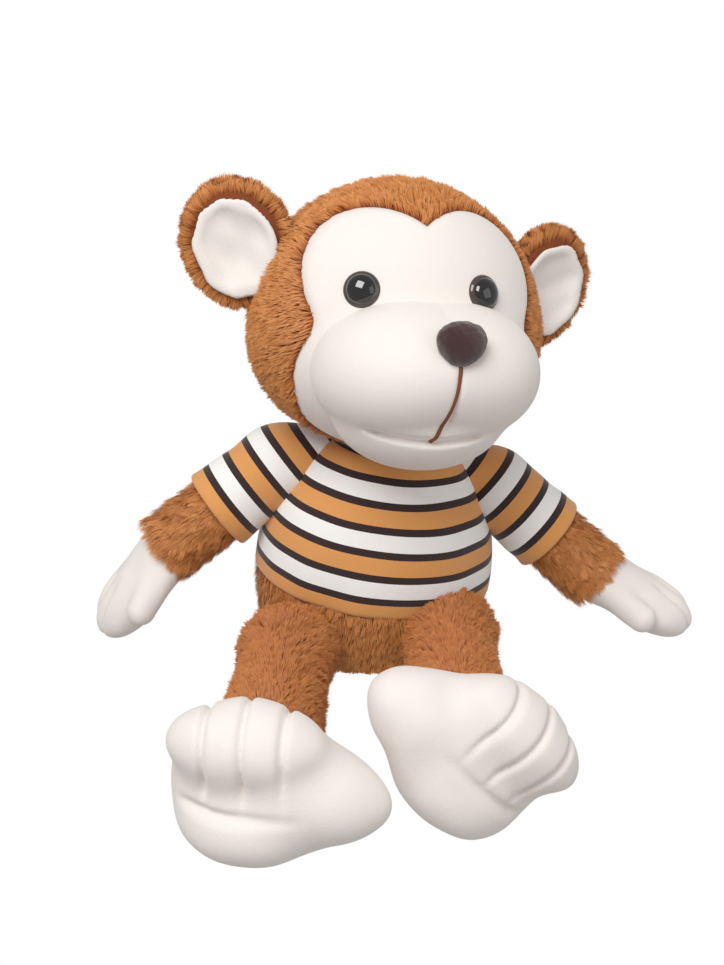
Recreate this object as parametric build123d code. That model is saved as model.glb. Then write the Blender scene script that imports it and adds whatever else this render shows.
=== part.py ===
"""A sitting stuffed monkey in a striped shirt, about 18 cm tall as it sits.

Every fabric casing, its stuffing, every sewn-on piece and both plastic eyes are separate solids.
Casings are modelled at the fabric backing, so the fur pile stands outside them.
Frame: millimetres, +Z up, origin at the centre of the flat seat, the monkey faces -Y and its own
left side is +X. It slumps a little to its left and looks up and to its left.
"""

import os
from math import asin, atan, atan2, cos, degrees, pi, sin, sqrt

from build123d import *

os.makedirs("parts", exist_ok=True)

# ---- Fabric and clearances -------------------------------------------------------------------
FUR_WALL = 1.6          # plush backing and the root of its pile
FLEECE_WALL = 1.2       # short-pile fleece of the face, hands and feet
SHIRT_WALL = 1.2        # knitted velour of the shirt
FILL_GAP = 0.25         # stuffing to casing
JOINT_GAP = 0.4         # between two bodies that move on each other
THREAD_R = 0.45         # embroidery thread
THREAD_GAP = 0.05       # thread to the fleece it lies on
FAR = 240.0             # longer than anything it cuts

# ---- Torso: an egg cut flat at the seat and the neck ------------------------------------------
TORSO_EGG = (43.5, 36.5, 60)
TORSO_MIDDLE = 28.0     # height of the egg's centre
TORSO_TOP = 80.0
TORSO_SLUMP, TORSO_RECLINE = 6.0, 6.0       # to its own left, and backward
SHIRT_GAP = 0.3         # shirt lining to fur casing
HEM_FRONT, HEM_BACK = 23.0, 28.0
COLLAR_R, COLLAR_INNER_R, COLLAR_T = 17.8, 14.0, 2.4

# ---- Neck and head ---------------------------------------------------------------------------
NECK_UP = 84.0          # neck centre along the torso's axis
NECK_PLUG_R = 11.5      # sits in the torso
NECK_DOME_R = 20.6      # carries the head
NECK_DOME_FROM = 83.0   # the dome's flat, just over the collar
HEAD_CENTRE = (7, 2, 134)
HEAD_TURN, HEAD_NOD, HEAD_TILT = 14.0, -17.0, 5.5     # about Z, X and Y as it sits
HEAD = (50, 41, 46)     # half width, half depth, half height
FACE_LOBE_R, FACE_LOBE_X, FACE_LOBE_Z = 24.0, 19.0, 13.5
FACE_JOWL = (43, 33, -18)       # half width, half height, centre height of the lower face
MUZZLE = (41, 34, 27)
MUZZLE_CENTRE = (0, -34, -21)
SMILE_R, SMILE_LOW, SMILE_TOP = 34.0, -41.0, -22.0    # seam between upper lip and chin
NOSE = (9.5, 5.5, 8)
NOSE_Z = -4.0

# ---- Safety eyes -----------------------------------------------------------------------------
EYE_X, EYE_Z = 21.3, 10.0
EYE_R, EYE_H = 6.4, 2.6         # rim radius, and how far its dome stands
PUPIL_R, PUPIL_SEAT, PUPIL_EDGE, PUPIL_DOME = 5.3, 1.0, 1.3, 2.0
SHANK_R, SHANK_LENGTH = 2.0, 12.0
WASHER_R, WASHER_T, WASHER_BACK = 7.0, 1.2, 3.6

# ---- Ears ------------------------------------------------------------------------------------
EAR_HALF_WIDTH, EAR_HALF_HEIGHT, EAR_T = 17.5, 20.5, 6.0
LINING_HALF_WIDTH, LINING_HALF_HEIGHT, LINING_T = 14.0, 17.0, 2.4
EAR_FROM = 51.0         # the cut beside the head, so that the ear can fold
EAR_X, EAR_Y = 59.0, 3.0
EAR_Z = {"left": 11.0, "right": 23.0}      # sewn on a little unevenly
EAR_SPLAY = 20.0        # how far its face turns outward
EAR_LEAN = 20.0         # how far its top leans outward

# ---- Arms: a shoulder ball in a sleeve, a forearm and a hand -------------------------------
SHOULDER = (42, 0, 66)          # along the torso's own axes
SHOULDER_R, CUFF_R = 13.5, 16.5
SLEEVE_LENGTH = 30.0
ARM_R, WRIST_R = 11.8, 12.6
ARM_LENGTH = 51.0       # shoulder centre to wrist centre
WRIST_SOCKET_R = 10.2
WRIST_DEPTH = 2.0       # how far the wrist centre lies inside the arm's end
HAND = (24, 9.5, 13)  # half length, half thickness, half width
HAND_REACH = 21.0       # wrist centre to hand centre
THUMB = (9, 4.6, 4.8)
THUMB_AT = (13, 10.5, 1)
THUMB_ANGLE = 32.0
ARM_DROP = {"left": 38.0, "right": 36.0}
ARM_FORWARD = 14.0
WRIST_DROOP = {"left": -12.0, "right": 17.0}

# ---- Legs and feet ---------------------------------------------------------------------------
HIP_X, HIP_Z = 28.0, 21.5
HIP_Y = {"left": -27.0, "right": -41.0}    # its right leg is stretched further out
HIP_R, LEG_R, ANKLE_R = 19.5, 15.8, 16.5
LEG_LENGTH = 75.0       # hip centre to ankle centre
LEG_SPLAY = {"left": -1.0, "right": 9.0}
LEG_RISE = {"left": 1.8, "right": 0.0}
FOOT = (18, 27, 28)     # half thickness, half width, half length from heel to toes
FOOT_AHEAD = 16.0       # ankle centre to the foot's centre
FOOT_BACK = 3.0         # the foot starts this far ahead of the ankle centre
FOOT_UP = 6.8           # foot's centre above the leg's axis, towards the toes
BIG_TOE = (12, 17.5, 12)
BIG_TOE_AT = (2, 24.5, -2)      # towards the sole, towards the other foot, towards the toes
FOOT_ROLL = {"left": 45.0, "right": 0.0}        # turned outward about the leg
TOE_CREASES = (-0.52, -0.12, 0.28)      # across the foot, as shares of its half width
TOE_CREASE_FROM, TOE_CREASE_TO = 12.0, 68.0     # degrees above the middle of the sole

SIDES = {"left": 1, "right": -1}


def save(shape, node):
    """Writes one node's solids."""
    shape.label = node
    export_step(shape, f"parts/{node}.step")


def one(shape):
    """The largest solid of a cut, without the crumbs beside it."""
    return sorted(shape.solids(), key=lambda solid: solid.volume)[-1]


def ellipsoid(radii, at=(0, 0, 0), out=0.0):
    """An egg whose surface seam is turned away from the planes that cut it."""
    rx, ry, rz = radii
    return Pos(*at) * scale(Rot(Z=40) * Sphere(1), by=(rx + out, ry + out, rz + out))


def over(height):
    """Everything above a height."""
    return Pos(0, 0, height + FAR / 2) * Box(FAR, FAR, FAR)


def shell(form, wall):
    """A closed skin: the form at its surface, less the form drawn in by the wall."""
    return form(0.0) - form(-wall)


def tapered(root_r, end_r, length, out=0.0):
    """A ball at the origin drawn out along +X to a flat end."""
    root, end = root_r + out, end_r + out
    lean = (end_r - root_r) / length
    rise = -root * lean
    reach = length + out - rise
    cone = Pos(rise + reach / 2, 0, 0) * Rot(Y=90) * Cone(root * sqrt(1 - lean * lean), end, reach)
    return Sphere(root) + cone


# ---- Torso, shirt and neck -------------------------------------------------------------------
TORSO = Rot(Y=TORSO_SLUMP) * Rot(X=-TORSO_RECLINE)


def torso_form(out=0.0):
    return TORSO * ellipsoid(TORSO_EGG, (0, 0, TORSO_MIDDLE), out)


def below_neck(shape, margin=0.0):
    """Cuts the torso's top flat, square to its own axis."""
    return shape - TORSO * over(TORSO_TOP - margin)


def arm_place(side):
    """Arm frame: origin at the shoulder, +X along the arm."""
    s = SIDES[side]
    x, y, z = SHOULDER
    heading = -ARM_FORWARD if s > 0 else 180 + ARM_FORWARD
    shoulder = (TORSO * Pos(s * x, y, z)).position
    return Pos(*shoulder) * Rot(Z=heading) * Rot(Y=ARM_DROP[side])


def leg_place(side):
    """Leg frame: origin at the hip, +X along the leg, +Z up."""
    s = SIDES[side]
    return Pos(s * HIP_X, HIP_Y[side], HIP_Z) * Rot(Z=-90 + s * LEG_SPLAY[side]) * Rot(Y=-LEG_RISE[side])


def torso_pockets(out=0.0):
    """Round hollows in the torso for the neck's plug and the shoulder and hip balls."""
    pockets = [TORSO * Pos(0, 0, NECK_UP) * Sphere(NECK_PLUG_R + JOINT_GAP + out)]
    for side in SIDES:
        pockets.append(arm_place(side) * tapered(SHOULDER_R, CUFF_R, SLEEVE_LENGTH, JOINT_GAP + out))
        pockets.append(leg_place(side) * Sphere(HIP_R + JOINT_GAP + out))
    return pockets


def build_torso():
    pockets = torso_pockets()
    outer = below_neck(torso_form() & over(0)) - pockets
    cavity = below_neck(torso_form(-FUR_WALL) & over(FUR_WALL), FUR_WALL) - torso_pockets(FUR_WALL)
    save(one(outer - cavity), "torso_casing")
    fill = torso_form(-FUR_WALL - FILL_GAP) & over(FUR_WALL + FILL_GAP)
    fill = below_neck(fill, FUR_WALL + FILL_GAP) - torso_pockets(FUR_WALL + FILL_GAP)
    save(one(fill), "torso_stuffing")

    tilt = degrees(atan((HEM_BACK - HEM_FRONT) / (2 * TORSO_EGG[1])))
    above_hem = TORSO * Pos(0, 0, (HEM_FRONT + HEM_BACK) / 2) * Rot(X=tilt) * over(0)
    cloth = below_neck(torso_form(SHIRT_GAP + SHIRT_WALL) & above_hem) - torso_form(SHIRT_GAP)
    cloth -= pockets[1:]
    front = TORSO * Rot(X=90) * over(0)
    save(one(cloth & front), "shirt_front")
    save(one(cloth - front), "shirt_back")
    band = Cylinder(COLLAR_R, COLLAR_T) - Cylinder(COLLAR_INNER_R, 2 * COLLAR_T)
    band = fillet(band.edges(), COLLAR_T / 4)
    save(TORSO * Pos(0, 0, TORSO_TOP + THREAD_GAP + COLLAR_T / 2) * band, "shirt_collar")

    plug = Sphere(NECK_PLUG_R)
    dome = Sphere(NECK_DOME_R) & over(NECK_DOME_FROM - NECK_UP)
    save(TORSO * Pos(0, 0, NECK_UP) * (plug + dome), "neck_stuffing")


# ---- Head ------------------------------------------------------------------------------------
FACE = Pos(*HEAD_CENTRE) * Rot(Z=HEAD_TURN) * Rot(X=HEAD_NOD) * Rot(Y=HEAD_TILT)


def neck_recess(out=0.0):
    """The hollow under the head that rides on the neck's dome, in the head's own frame."""
    centre = (TORSO * Pos(0, 0, NECK_UP)).position
    return FACE.inverse() * Pos(*centre) * Sphere(NECK_DOME_R + JOINT_GAP + out)


def face_prism():
    """The heart-shaped outline of the fleece face, drawn out to the front."""
    outline = Pos(0, FACE_JOWL[2]) * Ellipse(FACE_JOWL[0], FACE_JOWL[1])
    for s in SIDES.values():
        outline += Pos(s * FACE_LOBE_X, FACE_LOBE_Z) * Circle(FACE_LOBE_R)
    return extrude(Plane.XZ * outline, FAR / 2)


def on_head(x, z, out=0.0):
    """A frame on the face's surface with +Z along its outward normal."""
    rx, ry, rz = HEAD
    y = -ry * sqrt(1 - (x / rx) ** 2 - (z / rz) ** 2)
    nx, ny, nz = x / rx ** 2, y / ry ** 2, z / rz ** 2
    size = sqrt(nx * nx + ny * ny + nz * nz)
    turn = degrees(atan2(nx, -ny))
    rise = degrees(asin(nz / size))
    at = (x + out * nx / size, y + out * ny / size, z + out * nz / size)
    return Pos(*at) * Rot(Z=turn) * Rot(X=90 - rise)


def head_form(out=0.0):
    return ellipsoid(HEAD, out=out) - neck_recess(-out)


def muzzle_form(out=0.0):
    """The muzzle's egg outside the head it is sewn to."""
    return ellipsoid(MUZZLE, MUZZLE_CENTRE, out) - ellipsoid(HEAD, out=THREAD_GAP - out)


def washer_room():
    """Space in the stuffing for the shanks and washers."""
    room = []
    for s in SIDES.values():
        room.append(on_head(s * EYE_X, EYE_Z) * Pos(0, 0, -SHANK_LENGTH / 2)
                    * Cylinder(WASHER_R + FILL_GAP, SHANK_LENGTH + 2 * FILL_GAP))
    return room[0] + room[1]


def build_head():
    skin = shell(head_form, FUR_WALL)
    prism = face_prism()
    fur = skin - prism
    for side, s in SIDES.items():
        save(FACE * one(fur & Rot(Y=s * 90) * over(0)), f"head_casing_{side}")
    save(FACE * one(head_form(-FUR_WALL - FILL_GAP) - washer_room()), "head_stuffing")
    face = skin & prism
    for s in SIDES.values():
        face -= on_head(s * EYE_X, EYE_Z) * Cylinder(SHANK_R + THREAD_GAP, 2 * SHANK_LENGTH)
    save(FACE * one(face), "face_patch")

    muzzle = shell(muzzle_form, FLEECE_WALL)
    below = Pos(0, 0, SMILE_TOP) * Rot(X=180) * over(0)
    grin = Pos(0, 0, SMILE_LOW + SMILE_R) * Rot(X=90) * Cylinder(SMILE_R, FAR)
    chin = below - grin
    save(FACE * one(muzzle - chin), "muzzle_casing")
    save(FACE * one(muzzle & chin), "chin_panel")
    save(FACE * one(muzzle_form(-FLEECE_WALL - FILL_GAP)), "muzzle_stuffing")

    lip_y = MUZZLE_CENTRE[1] - MUZZLE[1] * sqrt(1 - ((NOSE_Z - MUZZLE_CENTRE[2]) / MUZZLE[2]) ** 2)
    nose = ellipsoid(NOSE, (0, lip_y, NOSE_Z)) - ellipsoid(MUZZLE, MUZZLE_CENTRE, THREAD_GAP)
    save(FACE * one(nose), "nose")
    save(FACE * build_mouth(), "mouth_stitch")
    for side, s in SIDES.items():
        build_eye(side, s)
        build_ear(side, s)


def build_mouth():
    """The embroidered line from the nose down to the smile, on the muzzle's middle."""
    out = THREAD_R + THREAD_GAP
    ry, rz = MUZZLE[1] + out, MUZZLE[2] + out
    top = asin((NOSE_Z - NOSE[2] - MUZZLE_CENTRE[2]) / rz)
    low = asin((SMILE_LOW - MUZZLE_CENTRE[2]) / rz)
    steps = [top + (low - top) * i / 6 for i in range(7)]
    path = Spline(*[(0, MUZZLE_CENTRE[1] - ry * cos(a), MUZZLE_CENTRE[2] + rz * sin(a)) for a in steps])
    return sweep(Plane(path @ 0, z_dir=path % 0) * Circle(THREAD_R), path)


def build_eye(side, s):
    seat = FACE * on_head(s * EYE_X, EYE_Z)
    ball_r = (EYE_R ** 2 + EYE_H ** 2) / (2 * EYE_H)
    cap = Pos(0, 0, EYE_H - ball_r) * Sphere(ball_r) & over(0)
    well = Pos(0, 0, PUPIL_SEAT + EYE_H) * Cylinder(PUPIL_R + THREAD_GAP, 2 * EYE_H)
    shank = Pos(0, 0, (PUPIL_SEAT / 2 - SHANK_LENGTH) / 2) * Cylinder(SHANK_R, SHANK_LENGTH + PUPIL_SEAT / 2)
    save(seat * ((cap - well) + shank), f"eye_rim_{side}")
    edge = Pos(0, 0, PUPIL_SEAT + PUPIL_EDGE / 2) * Cylinder(PUPIL_R, PUPIL_EDGE)
    rise = PUPIL_SEAT + PUPIL_EDGE
    dome = ellipsoid((PUPIL_R, PUPIL_R, PUPIL_DOME), (0, 0, rise)) & over(rise)
    save(seat * (edge + dome), f"eye_pupil_{side}")
    disc = Cylinder(WASHER_R, WASHER_T) - Cylinder(SHANK_R + THREAD_GAP, 2 * WASHER_T)
    save(seat * Pos(0, 0, -WASHER_BACK) * disc, f"eye_washer_{side}")


def build_ear(side, s):
    """A fur disc with a fleece lining let into its front, cut off just clear of the head."""
    pose = Pos(s * EAR_X, EAR_Y, EAR_Z[side]) * Rot(Y=s * EAR_LEAN) * Rot(Z=s * EAR_SPLAY)
    disc = extrude(Ellipse(EAR_HALF_WIDTH, EAR_HALF_HEIGHT), EAR_T)
    disc = fillet(disc.edges(), EAR_T / 4)
    pocket = Ellipse(LINING_HALF_WIDTH + THREAD_GAP, LINING_HALF_HEIGHT + THREAD_GAP)
    pad = extrude(Ellipse(LINING_HALF_WIDTH, LINING_HALF_HEIGHT), LINING_T)
    up = Pos(0, EAR_T / 2, 0) * Rot(X=90)
    sunk = Pos(0, 0, EAR_T - LINING_T)
    clear = Pos(s * EAR_FROM, 0, 0) * Rot(Y=s * 90) * over(0)
    back = up * (disc - sunk * extrude(pocket, EAR_T))
    save(FACE * one(pose * back & clear), f"ear_back_{side}")
    save(FACE * one(pose * up * sunk * pad & clear), f"ear_lining_{side}")


# ---- Arms ------------------------------------------------------------------------------------
def build_arm(side, s):
    place = arm_place(side)
    outer = tapered(SHOULDER_R, CUFF_R, SLEEVE_LENGTH)
    lining = tapered(SHOULDER_R, CUFF_R, SLEEVE_LENGTH, -SHIRT_WALL)
    mouth = Pos(SLEEVE_LENGTH, 0, 0) * Rot(Y=90) * Cylinder(CUFF_R - SHIRT_WALL, 4 * SHIRT_WALL)
    save(place * one(outer - lining - mouth), f"sleeve_{side}")

    socket = Pos(ARM_LENGTH, 0, 0)
    length = ARM_LENGTH + WRIST_DEPTH
    wall, room = FUR_WALL, FUR_WALL + FILL_GAP
    casing = tapered(ARM_R, WRIST_R, length) - socket * Sphere(WRIST_SOCKET_R)
    cavity = tapered(ARM_R, WRIST_R, length, -wall) - socket * Sphere(WRIST_SOCKET_R + wall)
    fill = tapered(ARM_R, WRIST_R, length, -room) - socket * Sphere(WRIST_SOCKET_R + room)
    save(place * one(casing - cavity), f"arm_casing_{side}")
    save(place * one(fill), f"arm_stuffing_{side}")

    wrist = place * socket * Rot(Y=WRIST_DROOP[side])
    save(wrist * one(sided(shell(hand_form, FLEECE_WALL), s)), f"hand_casing_{side}")
    save(wrist * one(sided(hand_form(-FLEECE_WALL - FILL_GAP), s)), f"hand_stuffing_{side}")


def sided(part, s):
    """A part drawn for the right side, mirrored if it is wanted for the left."""
    return part if s < 0 else mirror(part, about=Plane.XZ)


def hand_form(out=0.0):
    """A right mitten with a thumb on its front edge, whose root lies in the arm's hollow end."""
    x, y, z = THUMB_AT
    mitten = scale(Sphere(1), by=(HAND[0] + out, HAND[2] + out, HAND[1] + out))
    thumb = Pos(x, y, z) * Rot(Z=THUMB_ANGLE) * ellipsoid(THUMB, out=out)
    return Pos(HAND_REACH, 0, 0) * mitten + thumb


# ---- Legs ------------------------------------------------------------------------------------
def foot_form(out=0.0):
    """A right foot: sole, four toes in one and the big toe, hollowed for the rounded end of the leg."""
    ahead, aside, up = BIG_TOE_AT
    sole = ellipsoid(FOOT, (FOOT_AHEAD, 0, FOOT_UP), out)
    toe = ellipsoid(BIG_TOE, (FOOT_AHEAD + ahead, aside, FOOT_UP + up), out)
    foot = (sole + toe) - Sphere(ANKLE_R + JOINT_GAP - out)
    return foot & Rot(Y=90) * over(FOOT_BACK - out)


def leg_form(out=0.0):
    """A haunch in the torso, a straight furry leg and a rounded end that the foot turns on."""
    reach = Pos(LEG_LENGTH / 2, 0, 0) * Rot(Y=90)
    return Sphere(HIP_R + out) + reach * Cone(LEG_R + out, ANKLE_R + out, LEG_LENGTH) \
        + Pos(LEG_LENGTH, 0, 0) * Sphere(ANKLE_R + out)


def build_leg(side, s):
    place = leg_place(side)
    save(place * one(shell(leg_form, FUR_WALL)), f"leg_casing_{side}")
    save(place * one(leg_form(-FUR_WALL - FILL_GAP)), f"leg_stuffing_{side}")
    ankle = place * Pos(LEG_LENGTH, 0, 0) * Rot(X=-s * FOOT_ROLL[side])
    save(ankle * one(sided(shell(foot_form, FLEECE_WALL), s)), f"foot_casing_{side}")
    save(ankle * one(sided(foot_form(-FLEECE_WALL - FILL_GAP), s)), f"foot_stuffing_{side}")
    threads = [toe_thread(s, share) for share in TOE_CREASES]
    save(ankle * Compound(threads), f"toe_stitches_{side}")


def toe_thread(s, share):
    """One row of stitches between two toes, from the sole up over their ends."""
    out = THREAD_R + THREAD_GAP
    across = share * FOOT[1]
    left_over = sqrt(1 - (across / (FOOT[1] + out)) ** 2)
    depth, length = (FOOT[0] + out) * left_over, (FOOT[2] + out) * left_over
    span = [TOE_CREASE_FROM + (TOE_CREASE_TO - TOE_CREASE_FROM) * i / 6 for i in range(7)]
    points = []
    for angle in span:
        a = angle * pi / 180
        points.append((FOOT_AHEAD + depth * cos(a), s * across, FOOT_UP + length * sin(a)))
    path = Spline(*points)
    return sweep(Plane(path @ 0, z_dir=path % 0) * Circle(THREAD_R), path).solid()


build_torso()
build_head()
for name, sign in SIDES.items():
    build_arm(name, sign)
    build_leg(name, sign)
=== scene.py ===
"""Looks of the sitting stuffed monkey: plush fur, fleece, striped knit shirt and plastic eyes.

Forms are distance formulas in millimetres, in the same frames as the solid parts. Each sewn piece is a
mesh of its own, and fur is a mesh of fine tufts that rides with the piece it grows on.
"""

from math import radians

import bpy
import numpy as np
from mathutils import Matrix, Vector, kdtree


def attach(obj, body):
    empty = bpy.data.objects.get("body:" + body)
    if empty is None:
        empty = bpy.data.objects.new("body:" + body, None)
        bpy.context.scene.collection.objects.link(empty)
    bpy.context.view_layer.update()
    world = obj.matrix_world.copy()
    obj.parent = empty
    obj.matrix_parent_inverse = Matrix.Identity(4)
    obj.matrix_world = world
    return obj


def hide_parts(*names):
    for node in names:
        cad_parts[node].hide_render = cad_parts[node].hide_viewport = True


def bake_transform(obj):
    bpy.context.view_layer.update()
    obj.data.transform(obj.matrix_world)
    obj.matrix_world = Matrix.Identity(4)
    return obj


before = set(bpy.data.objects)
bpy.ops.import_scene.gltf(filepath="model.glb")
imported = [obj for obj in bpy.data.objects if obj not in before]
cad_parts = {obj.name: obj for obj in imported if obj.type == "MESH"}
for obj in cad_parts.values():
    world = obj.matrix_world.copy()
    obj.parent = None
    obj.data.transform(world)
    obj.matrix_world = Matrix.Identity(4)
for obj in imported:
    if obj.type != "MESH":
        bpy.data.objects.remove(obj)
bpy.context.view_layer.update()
MM = 0.001
SIDES = {"left": 1, "right": -1}

# ---- Sizes shared with the solid parts, in millimetres and degrees -------------------------------
TORSO_EGG, TORSO_MIDDLE, TORSO_TOP = (43.5, 36.5, 60.0), 28.0, 80.0
TORSO_SLUMP, TORSO_RECLINE = 6.0, 6.0
HEM_FRONT, HEM_BACK = 23.0, 28.0
HEAD_CENTRE, HEAD = (7, 2, 134), (50, 41, 46)
HEAD_TURN, HEAD_NOD, HEAD_TILT = 14.0, -17.0, 5.5
SHOULDER, SHOULDER_R, CUFF_R, SLEEVE_LENGTH = (42, 0, 66), 13.5, 16.5, 30.0
ARM_R, WRIST_R, ARM_LENGTH, ARM_FORWARD = 11.8, 12.6, 51.0, 14.0
ARM_DROP = {"left": 38.0, "right": 36.0}
WRIST_DROOP = {"left": -12.0, "right": 17.0}
HIP_X, HIP_Z, HIP_R, LEG_R, ANKLE_R, LEG_LENGTH = 28.0, 21.5, 19.5, 15.8, 16.5, 75.0
HIP_Y = {"left": -27.0, "right": -41.0}
LEG_SPLAY = {"left": -1.0, "right": 9.0}
LEG_RISE = {"left": 1.8, "right": 0.0}
FOOT_ROLL = {"left": 45.0, "right": 0.0}
EYE_R, NOSE_Z = 6.4, -4.0
EAR_X, EAR_Y, EAR_Z = 59.0, 3.0, {"left": 11.0, "right": 23.0}
EAR_SPLAY, EAR_LEAN = 20.0, 20.0

# ---- Sizes of the soft forms, in millimetres ------------------------------------------------------
# Shirt
STRIPES = (6.3, 2.8, 6.2, 2.8)  # orange, dark, white, dark, upward from a hem
PERIOD = sum(STRIPES)
STRIPE_START = 0.4
SHIRT_OUT, SHIRT_WAVE = 3.0, 0.7
SLEEVE_CLOTH, SLEEVE_HOLLOW = 2.4, 9.0
NECKBAND_R, NECKBAND_T = 21.0, 2.3
NECK_R = 19.6

# Fur: tufts on each piece, and how long they are
TUFTS = {"pelvis": 26000, "neck": 12000, "forearm": 15000, "leg": 34000, "half head": 39500, "ear": 20000}
PILE = {"pelvis": 7.0, "neck": 5.0, "forearm": 8.0, "leg": 6.5, "ear": 6.0}
FACE_PILE, FACE_PILE_GAIN, BACK_PILE = 5.2, 2.2, 7.6
TUFT_WIDTH, CLUMP, GATHER = 0.30, 2.6, 0.34

# Head, from its centre: x to its left, y backward, z up
JAW_AT, JAW = (0, 0, -12), (49, 38, 33)
LOBE_X, LOBE_Z, LOBE_R = 16.0, 12.5, 25.5
FACE_LOW, FACE_LOW_Z = (43, 33), -18.0
FLEECE_OUT = 1.6
CHEEK_X, CHEEK = 13, (27, 33, 23)
SNOUT_AT, SNOUT = (0, -36, -15), (32, 34.5, 22)
CHIN_AT, CHIN = (0, -30, -31.5), (31, 29, 20.5)
SMILE_X, SMILE_Z, SMILE_BEND, SMILE_DEPTH = -3.0, -38.5, 0.007, 3.0
NOSE_TIP_Y, NOSE_SIZE, NOSE_TAPER = -69.5, (8.5, 6.0, 7.5), 0.022
MOUTH_SWAY, THREAD_R = 3.4, 0.75
EYE_X, EYE_Z = {"left": 18.2, "right": -24.0}, 10.3
EYE_HEIGHT, PUPIL_R, PUPIL_HEIGHT = 2.6, 5.3, 3.2
EAR_SHAPE, EAR_BOWL, EAR_LINING = (17.5, 5.5, 20.5), (14.5, 7.5, 17.5), 1.3

# Hands and feet
HAND_SCALE = 1.17
TOE_LINES, TOE_LINE_DEPTH = (14.5, 2.0, -10.5), 1.9


# ---- Frames ------------------------------------------------------------------------------------
def move(*at):
    return Matrix.Translation(Vector(at))


def turn(axis, angle):
    return Matrix.Rotation(radians(angle), 4, axis)


TORSO = turn("Y", TORSO_SLUMP) @ turn("X", -TORSO_RECLINE)
FACE = move(*HEAD_CENTRE) @ turn("Z", HEAD_TURN) @ turn("X", HEAD_NOD) @ turn("Y", HEAD_TILT)


def arm_frame(side):
    s = SIDES[side]
    heading = -ARM_FORWARD if s > 0 else 180 + ARM_FORWARD
    shoulder = TORSO @ Vector((s * SHOULDER[0], SHOULDER[1], SHOULDER[2]))
    return move(*shoulder) @ turn("Z", heading) @ turn("Y", ARM_DROP[side])


def leg_frame(side):
    s = SIDES[side]
    heading = -90 + s * LEG_SPLAY[side]
    return move(s * HIP_X, HIP_Y[side], HIP_Z) @ turn("Z", heading) @ turn("Y", -LEG_RISE[side])


def placed(frame, points):
    m = np.array(frame, float)
    return points @ m[:3, :3].T + m[:3, 3]


def local(frame, points):
    return placed(frame.inverted(), points)


# ---- Distance formulas ---------------------------------------------------------------------------
def egg(p, centre, radii):
    q = (p - centre) / np.array(radii, float)
    k = np.linalg.norm(q, axis=1)
    g = np.linalg.norm(q / np.array(radii, float), axis=1)
    return k * (k - 1) / np.maximum(g, 1e-4)


def bone(p, a, b, ra, rb):
    a, b = np.array(a, float), np.array(b, float)
    t = np.clip(((p - a) @ (b - a)) / ((b - a) @ (b - a)), 0, 1)
    return np.linalg.norm(p - a - t[:, None] * (b - a), axis=1) - (ra + (rb - ra) * t)


def join(a, b, soft):
    h = np.clip(0.5 + 0.5 * (b - a) / soft, 0, 1)
    return b + (a - b) * h - soft * h * (1 - h)


def cut(a, b, soft):
    return -join(-a, -b, soft)


def ease(low, high, x):
    t = np.clip((x - low) / (high - low), 0, 1)
    return t * t * (3 - 2 * t)


def dent(x, width):
    return np.exp(-((x / width) ** 2))


def ripple(p, scale, seed, waves=5):
    """Smooth noise from a few sine waves in set directions."""
    rng = np.random.default_rng(seed)
    total = np.zeros(len(p))
    for _ in range(waves):
        k = rng.normal(size=3)
        k *= (0.7 + 0.8 * rng.random()) / np.linalg.norm(k) / scale * 6.28
        total += np.sin(p @ k + 6.28 * rng.random())
    return total / waves


def gradient(form, p):
    h = 0.25
    g = np.zeros_like(p)
    for axis in range(3):
        step = np.zeros(3)
        step[axis] = h
        g[:, axis] = form(p + step) - form(p - step)
    return g / (2 * h)


def unit(v):
    return v / np.maximum(np.linalg.norm(v, axis=1), 1e-9)[:, None]


# ---- Meshes --------------------------------------------------------------------------------------
def surface(form, low, high, step):
    """Quads over the zero surface of a distance formula."""
    low = np.array(low, float)
    size = np.ceil((np.array(high, float) - low) / step).astype(int) + 1
    grid = np.stack(np.meshgrid(*[np.arange(n) for n in size], indexing="ij"), -1)
    d = form(low + grid.reshape(-1, 3) * step).reshape(size)
    inside = d < 0
    cells = size - 1
    total, count = np.zeros((*cells, 3)), np.zeros(cells)
    for axis in range(3):
        others = [a for a in range(3) if a != axis]
        for u in (0, 1):
            for v in (0, 1):
                start = [0, 0, 0]
                start[others[0]], start[others[1]] = u, v
                near = tuple(slice(start[a], start[a] + cells[a]) for a in range(3))
                start[axis] = 1
                far = tuple(slice(start[a], start[a] + cells[a]) for a in range(3))
                start[axis] = 0
                crossed = inside[near] != inside[far]
                share = np.where(crossed, d[near] / np.where(crossed, d[near] - d[far], 1), 0)
                for a in range(3):
                    total[..., a] += np.where(crossed, share if a == axis else start[a], 0)
                count += crossed
    active = count > 0
    index = np.full(cells, -1)
    index[active] = np.arange(active.sum())
    where = np.argwhere(active)
    points = low + (where + total[active] / count[active][:, None]) * step
    quads = []
    for axis in range(3):
        u, v = [a for a in range(3) if a != axis]
        here = [slice(1, cells[a]) for a in range(3)]
        here[axis] = slice(0, cells[axis])
        ahead = list(here)
        ahead[axis] = slice(1, cells[axis] + 1)
        changed = inside[tuple(here)] != inside[tuple(ahead)]
        at = np.argwhere(changed)
        out = inside[tuple(here)][changed]
        base = at.copy()
        base[:, u] += 1
        base[:, v] += 1
        ring = []
        for du, dv in ((0, 0), (1, 0), (1, 1), (0, 1)):
            corner = base.copy()
            corner[:, u] -= du
            corner[:, v] -= dv
            ring.append(index[tuple(corner.T)])
        ring = np.stack(ring, 1)
        flip = out if axis != 1 else ~out
        ring[~flip] = ring[~flip][:, ::-1]
        quads.append(ring)
    quads = np.concatenate(quads)
    for _ in range(2):
        g = gradient(form, points)
        points = points - form(points)[:, None] * g / np.maximum((g * g).sum(1), 0.2)[:, None]
    return points, quads


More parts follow.
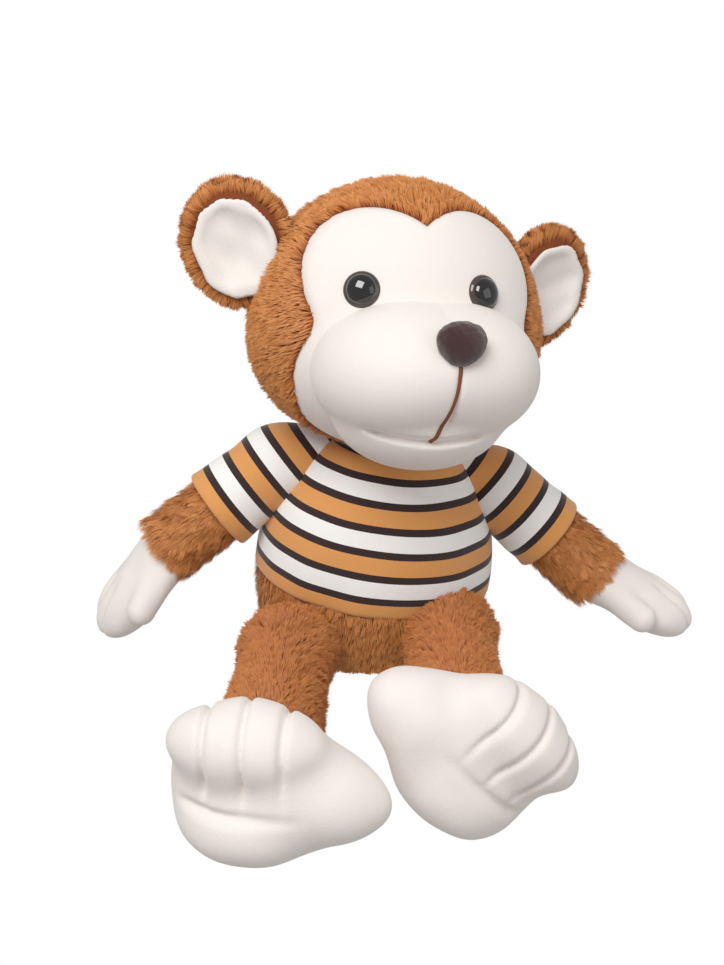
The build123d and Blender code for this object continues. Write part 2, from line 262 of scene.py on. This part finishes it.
def mesh(name, points, loops, sizes, material):
    """A mesh object from corner lists, with points in millimetres in the shared frame."""
    data = bpy.data.meshes.new(name)
    data.vertices.add(len(points))
    data.vertices.foreach_set("co", (points * MM).astype(np.float32).ravel())
    data.loops.add(len(loops))
    data.loops.foreach_set("vertex_index", loops.astype(np.int32))
    data.polygons.add(len(sizes))
    starts = np.concatenate([[0], np.cumsum(sizes)[:-1]])
    data.polygons.foreach_set("loop_start", starts.astype(np.int32))
    data.polygons.foreach_set("loop_total", sizes.astype(np.int32))
    data.polygons.foreach_set("use_smooth", np.full(len(sizes), True))
    data.update(calc_edges=True)
    data.materials.append(material)
    obj = bpy.data.objects.new(name, data)
    bpy.context.scene.collection.objects.link(obj)
    return obj


def solid(name, form, low, high, step, frame, material):
    points, quads = surface(form, low, high, step)
    return mesh(name, placed(frame, points), quads.ravel(), np.full(len(quads), 4), material)


def paint(obj, name, values):
    """Stores one number per vertex for the material."""
    layer = obj.data.attributes.new(name, "FLOAT", "POINT")
    layer.data.foreach_set("value", values.astype(np.float32))


def belongs(obj, bodies, slot, *nodes):
    """Rides on one body, or stays fixed where it lies between two, and stands for its solid nodes."""
    if isinstance(bodies, str):
        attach(obj, bodies)
    else:
        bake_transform(obj)
    if nodes:
        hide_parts(*nodes)
    return obj


# ---- Fur -----------------------------------------------------------------------------------------
SHARES = np.array([0.0, 0.4, 0.75, 1.0])  # places along a tuft, from its root to its tip
WIDTHS = np.array([0.8, 1.0, 0.7, 0.0])  # its width at each of them


def fur(name, form, low, high, frame, material, count, keep, comb, length, lift, seed, step=2.5):
    """Tapered tufts over the part of a surface that keep() allows, combed along comb().

    Tufts lean away from the surface by lift, and bunch towards a few leading tufts at their tips.
    """
    rng = np.random.default_rng(seed)
    points, quads = surface(form, low, high, step)
    corners = points[quads]
    middle = corners.mean(1)
    quads = quads[keep(middle) > 0]
    corners = points[quads]
    area = np.linalg.norm(np.cross(corners[:, 2] - corners[:, 0], corners[:, 3] - corners[:, 1]), axis=1)
    pick = rng.choice(len(quads), size=count, p=area / area.sum())
    u, v = rng.random((2, count, 1))
    c = corners[pick]
    root = (c[:, 0] * (1 - u) + c[:, 1] * u) * (1 - v) + (c[:, 3] * (1 - u) + c[:, 2] * u) * v
    normal = unit(gradient(form, root))
    root = root - form(root)[:, None] * normal
    flow = comb(root)
    flow = unit(flow - (flow * normal).sum(1)[:, None] * normal)
    sway = np.stack([ripple(root, 9.0, seed + i) for i in range(3)], 1) * 0.5
    sway += np.stack([ripple(root, 3.5, seed + 9 + i) for i in range(3)], 1) * 0.45
    sway += rng.normal(size=root.shape) * 0.16
    flow = unit(flow + sway - (sway * normal).sum(1)[:, None] * normal)
    long = length(root) * (0.78 + 0.34 * rng.random(count) + 0.16 * ripple(root, 5.0, seed + 20))
    rise = lift * (1 + 0.35 * ripple(root, 4.0, seed + 30))

    hubs = max(8, int(area.sum() / CLUMP ** 2))
    chosen = rng.choice(count, size=min(hubs, count), replace=False)
    tree = kdtree.KDTree(len(chosen))
    for i, k in enumerate(chosen):
        tree.insert(root[k], i)
    tree.balance()
    hub = chosen[[tree.find(p)[1] for p in root]]
    shade = rng.random(count)
    hub_shade = rng.random(count)[hub]

    path = []
    for t in SHARES:
        up = rise * t - 0.30 * rise * t * t
        along = (1 - rise * 0.45) * (0.55 * t + 0.45 * t * t)
        at = root + long[:, None] * (normal * up[:, None] + flow * along[:, None])
        path.append(at + (at[hub] - at) * GATHER * t ** 1.5)
    path = np.stack(path, 1)
    heading = unit(path[:, 3] - path[:, 0])
    across = unit(np.cross(heading, normal))
    thick = TUFT_WIDTH * (0.75 + 0.5 * rng.random(count))
    verts = np.zeros((count, 7, 3))
    for i in range(3):
        half = across * (thick * WIDTHS[i] / 2)[:, None]
        verts[:, 2 * i] = path[:, i] - half
        verts[:, 2 * i + 1] = path[:, i] + half
    verts[:, 6] = path[:, 3]
    flat = placed(frame, verts.reshape(-1, 3))
    flat[:, 2] = np.maximum(flat[:, 2], 0.15)
    base = (np.arange(count) * 7)[:, None]
    pattern = np.array([0, 1, 3, 2, 2, 3, 5, 4, 4, 5, 6])
    loops = (base + pattern).ravel()
    sizes = np.tile([4, 4, 3], count)
    obj = mesh(name, flat, loops, sizes, material)
    tip = np.tile(SHARES[[0, 0, 1, 1, 2, 2, 3]], count)
    paint(obj, "tip", tip)
    paint(obj, "shade", np.repeat(0.5 * shade + 0.5 * hub_shade, 7))
    side = int(np.ceil(np.sqrt(count)))
    cell = np.stack([np.arange(count) % side, np.arange(count) // side], 1)
    inner = np.array([[0.2, 0.1], [0.8, 0.1], [0.2, 0.4], [0.8, 0.4], [0.2, 0.7], [0.8, 0.7], [0.5, 0.95]])
    uv = (cell[:, None] + inner[None]) / side
    layer = obj.data.uv_layers.new(name="OFBake")
    layer.data.foreach_set("uv", uv.reshape(-1, 2)[loops].astype(np.float32).ravel())
    return obj


def along(*direction):
    """The same direction for every tuft."""
    return lambda p: np.tile(np.array(direction), (len(p), 1))


def even(length):
    """The same length for every tuft."""
    return lambda p: np.full(len(p), length)


# ---- Materials ------------------------------------------------------------------------------------
def colour(*rgb):
    """Linear colour from display values of 0 to 255."""
    c = np.array(rgb, float) / 255
    c = np.where(c <= 0.04045, c / 12.92, ((c + 0.055) / 1.055) ** 2.4)
    return (*c, 1.0)


def plain(name, rgb, roughness, sheen=0.0, sheen_roughness=0.5, coat=0.0):
    m = bpy.data.materials.new(name)
    m.use_nodes = True
    shader = m.node_tree.nodes["Principled BSDF"]
    shader.inputs["Base Color"].default_value = colour(*rgb)
    shader.inputs["Roughness"].default_value = roughness
    shader.inputs["Sheen Weight"].default_value = sheen
    shader.inputs["Sheen Roughness"].default_value = sheen_roughness
    shader.inputs["Coat Weight"].default_value = coat
    return m


def node(m, kind, **values):
    n = m.node_tree.nodes.new(kind)
    for key, value in values.items():
        if hasattr(n, key):
            setattr(n, key, value)
        else:
            n.inputs[key].default_value = value
    return n


def link(m, a, b):
    m.node_tree.links.new(a, b)


def shader_of(m):
    return m.node_tree.nodes["Principled BSDF"]


def nap(m, scale, strength):
    """Fine pile as a bump."""
    place = node(m, "ShaderNodeTexCoord")
    noise = node(m, "ShaderNodeTexNoise", Scale=scale, Detail=5.0, Roughness=0.65)
    bump = node(m, "ShaderNodeBump", Strength=strength, Distance=0.4 * MM)
    link(m, place.outputs["Object"], noise.inputs["Vector"])
    link(m, noise.outputs["Fac"], bump.inputs["Height"])
    link(m, bump.outputs["Normal"], shader_of(m).inputs["Normal"])


def ramp(m, stops, mode="LINEAR"):
    n = node(m, "ShaderNodeValToRGB")
    n.color_ramp.interpolation = mode
    ends = n.color_ramp.elements
    for i, (at, rgb) in enumerate(stops):
        e = ends[i] if i < 2 else ends.new(at)
        e.position = at
        e.color = colour(*rgb)
    return n


def fur_material(name, dark, middle, light):
    """Tufts that lighten from root to tip, each a little different: the darker roots are painted shade
    down in the pile and the lighter tips a painted highlight, while the difference between tufts and
    clumps is the fur's own random tone.
    """
    m = plain(name, middle, 0.62, sheen=0.12, sheen_roughness=0.45)
    tip = node(m, "ShaderNodeAttribute", attribute_name="tip")
    shade = node(m, "ShaderNodeAttribute", attribute_name="shade")
    mix = node(m, "ShaderNodeMath", operation="MULTIPLY_ADD")
    mix.inputs[1].default_value = 0.36
    link(m, shade.outputs["Fac"], mix.inputs[0])
    scaled = node(m, "ShaderNodeMath", operation="MULTIPLY")
    scaled.inputs[1].default_value = 0.64
    link(m, tip.outputs["Fac"], scaled.inputs[0])
    link(m, scaled.outputs[0], mix.inputs[2])
    # Root colour is painted shade in the pile, tip colour a painted highlight
    colours = ramp(m, [(0.0, dark), (1.0, light), (0.45, middle)])
    link(m, mix.outputs[0], colours.inputs["Fac"])
    link(m, colours.outputs["Color"], shader_of(m).inputs["Base Color"])
    return m


# A darker copy of the brown fur for the legs: painted shade on the same fur as the rest
SHADED_BROWN = fur_material("brown_fur_shaded", (104, 50, 15), (178, 98, 42), (220, 148, 82))
# Backing cloth under the tufts, coloured darker than the pile so that the gaps between tufts show painted
# shade
BACKING_AND_SHADE = plain("brown_backing_and_shade", (128, 62, 26), 0.9)
BROWN = fur_material("brown_fur", (118, 58, 18), (194, 114, 50), (238, 170, 100))
CREAM = plain("cream_fleece", (240, 232, 225), 0.85, sheen=0.25)
nap(CREAM, 900, 0.35)
NOSE = plain("nose_felt", (62, 30, 30), 0.95, sheen=0.6)
nap(NOSE, 1500, 0.9)
THREAD = plain("mouth_thread", (128, 72, 40), 0.7)
RIM = plain("eye_rim", (70, 58, 52), 0.12, coat=0.6)
PUPIL = plain("eye_pupil", (7, 6, 6), 0.04, coat=1.0)
COLLAR = plain("collar_knit", (232, 222, 214), 0.9, sheen=0.3)
nap(COLLAR, 1200, 0.5)


def striped():
    """Printed stripes by the distance stored in the cloth."""
    m = plain("striped_knit", (224, 155, 85), 0.85, sheen=0.35)
    nap(m, 1100, 0.4)
    at = node(m, "ShaderNodeAttribute", attribute_name="stripe")
    wave = node(m, "ShaderNodeMath", operation="FRACT")
    link(m, at.outputs["Fac"], wave.inputs[0])
    edges = np.cumsum((0,) + STRIPES) / PERIOD
    orange, dark, white = (226, 157, 88), (46, 26, 26), (250, 248, 245)
    stops = [(edges[0], orange), (edges[1], dark), (edges[2], white), (edges[3], dark)]
    bands = ramp(m, stops, "CONSTANT")
    link(m, wave.outputs[0], bands.inputs["Fac"])
    link(m, bands.outputs["Color"], shader_of(m).inputs["Base Color"])
    return m


KNIT = striped()

# ---- Torso and shirt --------------------------------------------------------------------------------
EGG_AT = np.array((0, 0, TORSO_MIDDLE), float)


def torso(p, out=0.0):
    return egg(p, EGG_AT, np.array(TORSO_EGG) + out)


def hem_height(p):
    slope = (HEM_BACK - HEM_FRONT) / (2 * TORSO_EGG[1])
    return (HEM_BACK + HEM_FRONT) / 2 + slope * p[:, 1]


def arc_up(z):
    """Distance over the torso's surface from the hem to a height."""
    steps = np.linspace(0, 84, 400)
    share = np.clip((steps - TORSO_MIDDLE) / TORSO_EGG[2], -0.95, 0.95)
    slope = (TORSO_EGG[1] / TORSO_EGG[2]) * share / np.sqrt(1 - share ** 2)
    arc = np.concatenate([[0], np.cumsum(np.sqrt(1 + slope[1:] ** 2) * np.diff(steps))])
    return np.interp(z, steps, arc)


def shirt_form(p):
    wave = SHIRT_WAVE * ripple(p * np.array((1, 1, 0.5)), 20.0, 3)
    body = torso(p, SHIRT_OUT) + wave
    body = cut(body, p[:, 2] - TORSO_TOP - 2, 4.0)
    return cut(body, hem_height(p) - p[:, 2], 1.4)


def build_torso():
    step = 1.1

    def seat(p):
        return cut(torso(p), p[:, 2] - 50, 2)

    pelvis = solid("pelvis_backing", seat, (-50, -44, -14), (50, 44, 56), 2.0, TORSO, BACKING_AND_SHADE)
    for v in pelvis.data.vertices:
        v.co.z = max(v.co.z, 0.0)
    belongs(pelvis, "torso", "brown_fur", "torso_casing", "torso_stuffing")

    def keep(p):
        return (p[:, 2] < hem_height(p) + 3) & (placed(TORSO, p)[:, 2] > 1.0)

    down = along(0, -0.25, -1.0)
    tufts = fur("pelvis_fur", torso, (-50, -44, -14), (50, 44, 50), TORSO, BROWN, TUFTS["pelvis"], keep,
                down, even(PILE["pelvis"]), 0.55, 11)
    belongs(tufts, "torso", "brown_fur")

    shirt = solid("shirt_body", shirt_form, (-52, -46, 20), (52, 46, 86), step, TORSO, KNIT)
    at = local(TORSO, np.array([v.co for v in shirt.data.vertices]) / MM)
    paint(shirt, "stripe", (arc_up(at[:, 2]) - arc_up(hem_height(at)) + STRIPE_START) / PERIOD)
    belongs(shirt, "torso", "striped_knit", "shirt_front", "shirt_back")

    def band(p):
        r = np.hypot(p[:, 0], p[:, 1] / 0.94) - NECKBAND_R
        ribs = 0.18 * np.sin(np.arctan2(p[:, 1], p[:, 0]) * 90)
        rise = p[:, 2] - TORSO_TOP
        return np.hypot(r + rise * 0.5, rise * 0.62) - NECKBAND_T + ribs

    collar = solid("shirt_neckband", band, (-28, -28, 74), (28, 28, 87), 0.8, TORSO, COLLAR)
    belongs(collar, "torso", "collar_knit", "shirt_collar")

    def neck(p):
        return bone(p, (0, 0, 76), (0, 0, 110), NECK_R, NECK_R)

    tufts = fur("neck_fur", neck, (-26, -26, 70), (26, 26, 116), TORSO, BROWN, TUFTS["neck"],
                lambda p: (p[:, 2] > 80.5) & (p[:, 2] < 108), down, even(PILE["neck"]), 0.5, 17)
    belongs(tufts, "neck", "brown_fur")


# ---- Arms --------------------------------------------------------------------------------------------
def build_arm(side, s):
    frame = arm_frame(side)
    collar_end = TORSO @ Vector((s * 20, 1, 73))
    inward = np.array(local(frame, np.array([tuple(collar_end)]))[0])

    def sleeve_outer(p, out=0.0):
        upper = bone(p, inward, (0, 0, 0), 11.5 + out, SHOULDER_R + out + 0.5)
        lower = bone(p, (0, 0, 0), (SLEEVE_LENGTH + 3, 0, 0), SHOULDER_R + out + 0.5, CUFF_R + out)
        crease = 0.5 * ripple(p * np.array((1, 0.6, 0.6)), 14.0, 40 + s)
        return join(upper, lower, 6.0) + crease

    def sleeve(p):
        hollow = cut(sleeve_outer(p, -SLEEVE_CLOTH), SLEEVE_LENGTH - SLEEVE_HOLLOW - p[:, 0], 1.0)
        cloth = cut(sleeve_outer(p), -hollow, 0.8)
        return cut(cloth, p[:, 0] - SLEEVE_LENGTH, 1.6)

    step = 1.0
    low, high = np.minimum(inward, 0) - 18, np.array((SLEEVE_LENGTH + 4, 21, 21))
    high = np.maximum(high, inward + 18)
    cloth = solid(f"sleeve_cloth_{side}", sleeve, low, high, step, frame, KNIT)
    at = local(frame, np.array([v.co for v in cloth.data.vertices]) / MM)
    paint(cloth, "stripe", (SLEEVE_LENGTH - at[:, 0] + STRIPE_START) / PERIOD)
    start, end = frame @ Vector((-12, 0, 0)), frame @ Vector((12, 0, 0))
    belongs(cloth, ("torso", f"arm_{side}", start, end), "striped_knit", f"sleeve_{side}")

    def arm(p):
        return bone(p, (0, 0, 0), (ARM_LENGTH, 0, 0), ARM_R - 1.5, WRIST_R - 1.5)

    def ended_arm(p):
        return cut(arm(p), p[:, 0] - ARM_LENGTH - 1, 2.0)

    box = ((-16, -18, -18), (ARM_LENGTH + 14, 18, 18))
    skin = solid(f"forearm_backing_{side}", ended_arm, *box, 1.8, frame, BACKING_AND_SHADE)
    belongs(skin, f"arm_{side}", "brown_fur", f"arm_casing_{side}", f"arm_stuffing_{side}")

    def keep(p):
        return (p[:, 0] > SLEEVE_LENGTH - 4) & (p[:, 0] < ARM_LENGTH + 1)

    tufts = fur(f"forearm_fur_{side}", arm, *box, frame, BROWN, TUFTS["forearm"], keep,
                along(1.0, 0, -0.15), even(PILE["forearm"]), 0.60, 60 + s)
    belongs(tufts, f"arm_{side}", "brown_fur")

    wrist = frame @ move(ARM_LENGTH, 0, 0) @ turn("Y", WRIST_DROOP[side])

    def hand(full):
        """Palm, fingers with two creases, and a thumb, drawn small and scaled up."""
        p = full / HAND_SCALE
        palm = egg(p, (18, 0, 0), (21, 11.5, 8.5))
        base = egg(p, (2, 0, 0), (13, 9.5, 8.5))
        tips = egg(p, (27, s * 2.0, -0.5), (12, 10, 7))
        body = join(join(palm, base, 5), tips, 4)
        body += 1.5 * dent(p[:, 1] - s * 3.6, 1.2) * ease(16, 26, p[:, 0])
        body += 1.5 * dent(p[:, 1] + s * 1.8, 1.2) * ease(18, 27, p[:, 0])
        thumb = bone(p, (6, -s * 6, 0), (21, -s * 13.5, 1), 5.0, 4.6)
        return HAND_SCALE * (join(body, thumb, 2.2) + 0.35 * ripple(p, 11.0, 70 + s))

    mitten = solid(f"hand_{side}", hand, (-17, -26, -15), (52, 26, 15), 0.9, wrist, CREAM)
    belongs(mitten, f"hand_{side}", "cream_fleece", f"hand_casing_{side}", f"hand_stuffing_{side}")


# ---- Legs --------------------------------------------------------------------------------------------
def build_leg(side, s):
    frame = leg_frame(side)

    def leg(p):
        haunch = egg(p, (2, s * 2.5, -5), (15, 14.5, 12))
        shin = bone(p, (4, s * 2.5, -5), (LEG_LENGTH - 3, 0, 0), LEG_R - 3.5, ANKLE_R - 1)
        return join(haunch, shin, 8.0)

    box = ((-22, -22, -22), (LEG_LENGTH + 18, 22, 24))
    skin = solid(f"leg_backing_{side}", leg, *box, 1.8, frame, BACKING_AND_SHADE)
    belongs(skin, f"leg_{side}", "brown_fur", f"leg_casing_{side}", f"leg_stuffing_{side}")

    def keep(p):
        return (p[:, 0] > -10) & (p[:, 0] < LEG_LENGTH - 2)

    # The legs wear the darker copy of the fur, which is painted shade
    tufts = fur(f"leg_fur_{side}", leg, *box, frame, SHADED_BROWN, TUFTS["leg"], keep,
                along(-0.5, 0, -0.4), even(PILE["leg"]), 0.85, 80 + s)
    belongs(tufts, f"leg_{side}", "brown_fur")

    ankle = frame @ move(LEG_LENGTH, 0, 0) @ turn("X", -s * FOOT_ROLL[side])

    def foot(p):
        """A sole with toe lines sewn into it and a broad big toe on the inner side."""
        x, y, z = p[:, 0], p[:, 1] * s, p[:, 2]
        sole = egg(p, (16, 0, 5.5), (17, 27, 27))
        heel = egg(p, (19, s * 1.0, -6), (21, 23, 15))
        body = join(sole, heel, 8)
        toes = egg(p, (21, s * 3.0, 22), (14, 25, 12.5))
        body = join(body, toes, 7)
        groove = ease(3, 14, z) * ease(2, 12, x)
        for at in TOE_LINES:
            bend = at + 0.06 * (z - 20)
            body += TOE_LINE_DEPTH * dent(y - bend, 1.25) * groove
        body += 2.0 * dent(z - 4.0 + 0.05 * y, 1.8) * ease(20, 28, x) * ease(24, 14, np.abs(y - 2))
        root = egg(p, (17, -s * 14, 3), (18, 25, 17))
        tip = egg(p, (18.5, -s * 25, 1), (12, 19, 11))
        return join(body, join(root, tip, 8.0), 6.0) + 0.4 * ripple(p, 16.0, 90 + s)

    fleece = solid(f"foot_{side}", foot, (-6, -50, -26), (42, 50, 44), 1.0, ankle, CREAM)
    for v in fleece.data.vertices:
        v.co.z = max(v.co.z, 0.0)
    belongs(fleece, f"foot_{side}", "cream_fleece", f"foot_casing_{side}", f"foot_stuffing_{side}",
            f"toe_stitches_{side}")


# ---- Head --------------------------------------------------------------------------------------------
def head(p, out=0.0):
    skull = egg(p, (0, 0, 0), np.array(HEAD) + out)
    return join(skull, egg(p, JAW_AT, np.array(JAW) + out), 10)


def heart(p):
    """Negative inside the outline of the fleece face, seen from the front."""
    x, z = p[:, 0], p[:, 2]
    lobes = np.minimum(np.hypot(x - LOBE_X, z - LOBE_Z), np.hypot(x + LOBE_X, z - LOBE_Z)) - LOBE_R
    low = (np.hypot(x / FACE_LOW[0], (z - FACE_LOW_Z) / FACE_LOW[1]) - 1) * 36
    return join(lobes, low, 5)


def face_form(p):
    shape = cut(head(p, FLEECE_OUT), heart(p), 2.4)
    shape = cut(shape, -head(p, -2.5), 1.0)
    return cut(shape, p[:, 1] + 4, 1.0)


def lips(p):
    """Upper muzzle: two soft cheeks that meet under the nose."""
    x = p[:, 0]
    cheeks = np.minimum(egg(p, (CHEEK_X, -34, -17), CHEEK), egg(p, (-CHEEK_X, -34, -17), CHEEK))
    form = join(cheeks, egg(p, SNOUT_AT, SNOUT), 8)
    return form + 0.9 * dent(x, 1.3) * ease(-9, -17, p[:, 2])


def smile(p):
    """Height above the seam between the lips and the chin."""
    return p[:, 2] - SMILE_Z - SMILE_BEND * (p[:, 0] - SMILE_X) ** 2


def muzzle(p):
    middle = ease(24, 16, np.abs(p[:, 0] + 4)) * ease(-30, -40, p[:, 1])
    crease = SMILE_DEPTH * dent(smile(p), 1.3) * middle
    return join(lips(p), egg(p, CHIN_AT, CHIN), 3.0) + crease


def on_head(x, z):
    """A frame on the face with +Z outward."""
    rx, ry, rz = HEAD
    y = -ry * np.sqrt(1 - (x / rx) ** 2 - (z / rz) ** 2)
    outward = Vector((x / rx ** 2, y / ry ** 2, z / rz ** 2)).normalized()
    return move(x, y, z) @ outward.to_track_quat("Z", "Y").to_matrix().to_4x4()


def build_head():
    box = ((-56, -48, -52), (56, 48, 52))

    def furry(p):
        return cut(head(p), -heart(p) - 3 + 50 * (p[:, 1] > 0), 1.5)

    skin = solid("head_backing", furry, *box, 2.0, FACE, BACKING_AND_SHADE)
    belongs(skin, "head", "brown_fur", "head_casing_left", "head_casing_right", "head_stuffing")

    def outside_face(p):
        hidden = (heart(p) < -0.5) & (p[:, 1] < 0)
        under = muzzle(p) < -0.5
        return ~(hidden | under)

    def comb(p):
        away = p - np.array((0, -46, 4))
        away[:, 2] = np.where(p[:, 2] > 15, away[:, 2] * 0.8, away[:, 2] - 14)
        away[:, 1] += 16
        return away

    def pile(p):
        near = ease(0.0, 9.0, heart(p))
        return np.where(p[:, 1] < 0, FACE_PILE + FACE_PILE_GAIN * near, BACK_PILE)

    for side, s in SIDES.items():
        tufts = fur(f"head_fur_{side}", head, *box, FACE, BROWN, TUFTS["half head"],
                    lambda p: outside_face(p) & (p[:, 0] * s >= 0), comb, pile, 0.62, 130 + s)
        belongs(tufts, "head", "brown_fur")

    face = solid("face_fleece", face_form, (-50, -50, -52), (50, 2, 42), 1.1, FACE, CREAM)
    belongs(face, "head", "cream_fleece", "face_patch")
    snout = (-48, -74, -56), (48, -2, 14)
    points, quads = surface(muzzle, *snout, 1.0)
    above = smile(points[quads].mean(1)) > 0
    normals = placed(FACE, unit(gradient(muzzle, points))) - placed(FACE, np.zeros((1, 3)))
    panels = (
        ("muzzle_upper", above, ("muzzle_casing", "muzzle_stuffing")),
        ("muzzle_chin", ~above, ("chin_panel",)),
    )
    for name, part, nodes in panels:
        panel = mesh(name, placed(FACE, points), quads[part].ravel(), np.full(part.sum(), 4), CREAM)
        panel.data.normals_split_custom_set_from_vertices(normals)
        belongs(panel, "head", "cream_fleece", *nodes)

    def nose(p):
        q = p.copy()
        q[:, 0] = p[:, 0] / (1 + NOSE_TAPER * (p[:, 2] - NOSE_Z))
        return egg(q, (0, NOSE_TIP_Y, NOSE_Z), NOSE_SIZE) + 0.25 * ripple(p, 3.0, 5)

    felt = solid("nose_felt", nose, (-14, -80, -20), (14, -58, 4), 0.7, FACE, NOSE)
    belongs(felt, "head", "nose_felt", "nose")
    build_mouth()
    for side, s in SIDES.items():
        build_eye(side, s)
        build_ear(side, s)


def build_mouth():
    """A thread from under the nose down to the smile, laid on the muzzle."""
    rows = np.linspace(NOSE_Z - 6, SMILE_Z, 40)
    share = (rows - rows[0]) / (rows[-1] - rows[0])
    line = np.stack([-MOUTH_SWAY * share ** 2, np.full(40, -80.0), rows], 1)
    for _ in range(60):
        line[:, 1] += np.maximum(muzzle(line), 0) * 0.7
    curve = bpy.data.curves.new("mouth_thread", "CURVE")
    curve.dimensions = "3D"
    curve.bevel_depth = THREAD_R * MM
    spline = curve.splines.new("POLY")
    spline.points.add(len(line) - 1)
    for point, at in zip(spline.points, placed(FACE, line)):
        point.co = (*(at * MM), 1)
    curve.materials.append(THREAD)
    stitch = bpy.data.objects.new("mouth_thread", curve)
    bpy.context.scene.collection.objects.link(stitch)
    belongs(stitch, "head", "brown_thread", "mouth_stitch")


def build_eye(side, s):
    seat = FACE @ on_head(EYE_X[side], EYE_Z) @ move(0, 0, 1.2)

    def ring(p):
        return egg(p, (0, 0, 0), (EYE_R, EYE_R, EYE_HEIGHT))

    def dome(p):
        return egg(p, (0, 0, 0.9), (PUPIL_R, PUPIL_R, PUPIL_HEIGHT))

    rim = solid(f"eye_rim_round_{side}", ring, (-8, -8, -4), (8, 8, 4), 0.35, seat, RIM)
    belongs(rim, "head", "eye_rim", f"eye_rim_{side}", f"eye_washer_{side}")
    pupil = solid(f"eye_dome_{side}", dome, (-7, -7, -4), (7, 7, 5), 0.3, seat, PUPIL)
    belongs(pupil, "head", "eye_pupil", f"eye_pupil_{side}")


def build_ear(side, s):
    frame = FACE @ move(s * EAR_X, EAR_Y, EAR_Z[side]) @ turn("Y", s * EAR_LEAN) @ turn("Z", s * EAR_SPLAY)
    body = f"ear_{side}"

    def bowl(p):
        return egg(p, (s * 0.5, -6.5, -1), EAR_BOWL)

    def cup(p):
        return cut(egg(p, (0, 1.5, 0), EAR_SHAPE), -bowl(p), 1.2)

    box = ((-24, -12, -26), (24, 14, 26))
    back = solid(f"ear_backing_{side}", cup, *box, 1.2, frame, BACKING_AND_SHADE)
    belongs(back, body, "brown_fur", f"ear_back_{side}")

    def inside(p):
        folds = 0.7 * ripple(p * np.array((1, 0, 1)), 12.0, 200 + s, 3)
        return cut(np.abs(bowl(p) + folds) - EAR_LINING, -4.0 - p[:, 1], 0.8)

    lining = solid(f"ear_fleece_{side}", inside, *box, 0.8, frame, CREAM)
    belongs(lining, body, "cream_fleece", f"ear_lining_{side}")

    def rim(p):
        ring = np.hypot(p[:, 0] / 15.5, p[:, 2] / 18.5)
        inward = p[:, 0] * s < -17
        return ((ring > 0.97) | (p[:, 1] > 1.5)) & ~inward

    def comb(p):
        away = p * np.array((1.0, 0.4, 1.0))
        away[:, 1] -= 2.0
        return away

    tufts = fur(f"ear_fur_{side}", cup, *box, frame, BROWN, TUFTS["ear"], rim, comb,
                even(PILE["ear"]), 0.55, 220 + s, step=1.6)
    belongs(tufts, body, "brown_fur")


build_torso()
for side, s in SIDES.items():
    build_arm(side, s)
    build_leg(side, s)
build_head()
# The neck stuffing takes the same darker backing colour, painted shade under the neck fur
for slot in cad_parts["neck_stuffing"].material_slots:
    slot.link = "OBJECT"
    slot.material = BACKING_AND_SHADE

# ---- Light and camera ----------------------------------------------------------------------------
# The camera sees a white page behind the toy, and the toy is lit by a softer one.
PAGE, AROUND = 1.0, 0.46
world = bpy.data.worlds.new("studio")
bpy.context.scene.world = world
world.use_nodes = True
sky = world.node_tree.nodes["Background"]
ray = world.node_tree.nodes.new("ShaderNodeLightPath")
level = world.node_tree.nodes.new("ShaderNodeMapRange")
level.inputs["To Min"].default_value = AROUND
level.inputs["To Max"].default_value = PAGE
world.node_tree.links.new(ray.outputs["Is Camera Ray"], level.inputs["Value"])
world.node_tree.links.new(level.outputs["Result"], sky.inputs["Strength"])
sky.inputs["Color"].default_value = (1, 1, 1, 1)


def lamp(name, at, aim, size, power):
    light = bpy.data.lights.new(name, "AREA")
    light.size, light.energy = size, power
    obj = bpy.data.objects.new(name, light)
    bpy.context.scene.collection.objects.link(obj)
    obj.location = at
    obj.rotation_euler = (Vector(aim) - Vector(at)).to_track_quat("-Z", "Y").to_euler()


lamp("key", (-0.35, -0.55, 1.0), (0, 0, 0.09), 0.6, 8.6)
lamp("fill", (0.8, -0.6, 0.5), (0, 0, 0.08), 0.7, 1.2)

AZIMUTH, ELEVATION, DISTANCE, ROLL = -4.0, 28.0, 620.0, 2.5
TARGET = Vector((-3.7, -9.7, 70.4))
LENS_SHARE = 1.713
camera = bpy.data.cameras.new("camera")
camera.lens = 36 * LENS_SHARE
eye = bpy.data.objects.new("camera", camera)
bpy.context.scene.collection.objects.link(eye)
eye.matrix_world = (Matrix.Translation(TARGET * MM) @ turn("Z", AZIMUTH) @ turn("X", 90 - ELEVATION)
                    @ Matrix.Translation((0, 0, DISTANCE * MM)) @ turn("Z", ROLL))
bpy.context.scene.camera = eye
bpy.context.scene.view_settings.view_transform = "Standard"
